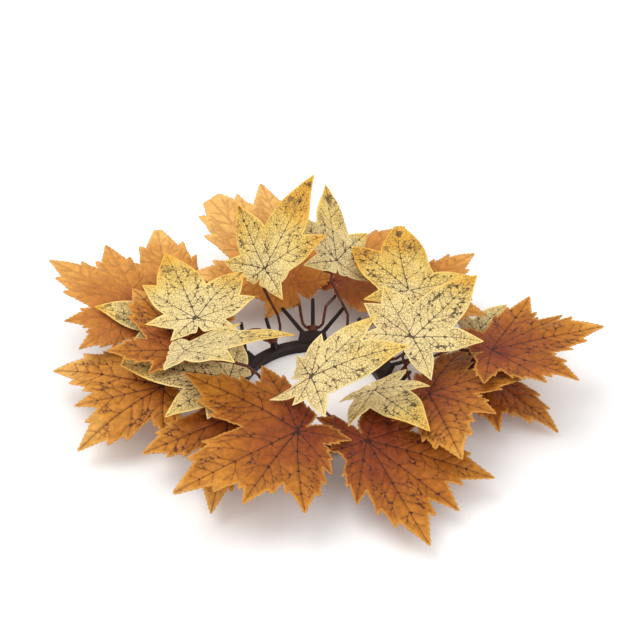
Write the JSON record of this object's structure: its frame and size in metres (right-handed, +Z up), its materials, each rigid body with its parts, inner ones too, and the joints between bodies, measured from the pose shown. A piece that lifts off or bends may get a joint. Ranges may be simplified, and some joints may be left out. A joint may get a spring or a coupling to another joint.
{
  "type": "artificial leaf wreath",
  "caption": "Table wreath of fabric maple and sweetgum leaves on forked stems that swivel on the prongs of a moulded ring, open in the middle for a candle.",
  "frame": {"origin": "on the table, under the middle of the overall box", "axes": "+Z up from the table, +X to the right seen from the front, +Y to the back"},
  "size_m": [0.3342, 0.2771, 0.0898],
  "materials": {
    "ring": "semi-gloss dark brown moulding",
    "stem": "satin reddish brown moulding",
    "maple_fabric": "printed orange leaf fabric with dark veins",
    "gum_fabric": "printed yellow leaf fabric with dark crackle veins"
  },
  "bodies": {
    "ring": {"ring_base": "ring"},
    "leaf_fork_01": {"leaf_fork_01": "stem", "maple_leaf_01": "maple_fabric", "maple_leaf_02": "maple_fabric"},
    "leaf_fork_02": {"leaf_fork_02": "stem", "maple_leaf_03": "maple_fabric", "maple_leaf_04": "maple_fabric"},
    "leaf_fork_03": {"leaf_fork_03": "stem", "maple_leaf_05": "maple_fabric", "maple_leaf_06": "maple_fabric"},
    "leaf_fork_04": {"leaf_fork_04": "stem", "maple_leaf_07": "maple_fabric", "maple_leaf_08": "maple_fabric"},
    "leaf_fork_05": {"leaf_fork_05": "stem", "maple_leaf_09": "maple_fabric", "maple_leaf_10": "maple_fabric"},
    "leaf_fork_06": {"leaf_fork_06": "stem", "maple_leaf_11": "maple_fabric", "maple_leaf_12": "maple_fabric"},
    "leaf_fork_07": {"leaf_fork_07": "stem", "gum_leaf_05": "gum_fabric", "gum_leaf_09": "gum_fabric"},
    "leaf_fork_08": {"leaf_fork_08": "stem", "gum_leaf_01": "gum_fabric", "gum_leaf_02": "gum_fabric"},
    "leaf_fork_09": {"leaf_fork_09": "stem", "maple_leaf_13": "maple_fabric", "gum_leaf_10": "gum_fabric"},
    "leaf_fork_10": {"leaf_fork_10": "stem", "gum_leaf_03": "gum_fabric", "gum_leaf_04": "gum_fabric"},
    "leaf_fork_11": {"leaf_fork_11": "stem", "gum_leaf_07": "gum_fabric", "gum_leaf_08": "gum_fabric"},
    "leaf_fork_12": {"leaf_fork_12": "stem", "gum_leaf_06": "gum_fabric", "gum_leaf_11": "gum_fabric"}
  },
  "joints": [
    {"name": "leaf_fork_01_swivel", "type": "hinge", "parent": "ring", "child": "leaf_fork_01", "pos_m": [-0.0019, 0.04277, 0.00837], "axis": [0, 0.7071, 0.7071], "range_deg": [-1.5, 2]},
    {"name": "leaf_fork_02_swivel", "type": "hinge", "parent": "ring", "child": "leaf_fork_02", "pos_m": [-0.04509, 0.01783, 0.00837], "axis": [-0.6124, 0.3536, 0.7071], "range_deg": [-1.5, 1.5]},
    {"name": "leaf_fork_03_swivel", "type": "hinge", "parent": "ring", "child": "leaf_fork_03", "pos_m": [-0.04509, -0.03203, 0.00837], "axis": [-0.6124, -0.3536, 0.7071], "range_deg": [-1.5, 3]},
    {"name": "leaf_fork_04_swivel", "type": "hinge", "parent": "ring", "child": "leaf_fork_04", "pos_m": [-0.0019, -0.05697, 0.00837], "axis": [0, -0.7071, 0.7071], "range_deg": [-3, 3]},
    {"name": "leaf_fork_05_swivel", "type": "hinge", "parent": "ring", "child": "leaf_fork_05", "pos_m": [0.04129, -0.03203, 0.00837], "axis": [0.6124, -0.3536, 0.7071], "range_deg": [-2.5, 1.5]},
    {"name": "leaf_fork_06_swivel", "type": "hinge", "parent": "ring", "child": "leaf_fork_06", "pos_m": [0.04129, 0.01783, 0.00837], "axis": [0.6124, 0.3536, 0.7071], "range_deg": [-4, 1.5]},
    {"name": "leaf_fork_07_swivel", "type": "hinge", "parent": "ring", "child": "leaf_fork_07", "pos_m": [0.02153, 0.03348, 0.00729], "axis": [0.2868, 0.4967, 0.8192], "range_deg": [-5, 5]},
    {"name": "leaf_fork_08_swivel", "type": "hinge", "parent": "ring", "child": "leaf_fork_08", "pos_m": [-0.02533, 0.03348, 0.00729], "axis": [-0.2868, 0.4967, 0.8192], "range_deg": [-2, 1.5]},
    {"name": "leaf_fork_09_swivel", "type": "hinge", "parent": "ring", "child": "leaf_fork_09", "pos_m": [-0.04876, -0.0071, 0.00729], "axis": [-0.5736, 0, 0.8192], "range_deg": [-3, 1]},
    {"name": "leaf_fork_10_swivel", "type": "hinge", "parent": "ring", "child": "leaf_fork_10", "pos_m": [-0.02533, -0.04768, 0.00729], "axis": [-0.2868, -0.4967, 0.8192], "range_deg": [-1, 1.5]},
    {"name": "leaf_fork_11_swivel", "type": "hinge", "parent": "ring", "child": "leaf_fork_11", "pos_m": [0.02153, -0.04768, 0.00729], "axis": [0.2868, -0.4967, 0.8192], "range_deg": [-5, 2]},
    {"name": "leaf_fork_12_swivel", "type": "hinge", "parent": "ring", "child": "leaf_fork_12", "pos_m": [0.04496, -0.0071, 0.00729], "axis": [0.5736, 0, 0.8192], "range_deg": [-3, 3]}
  ]
}
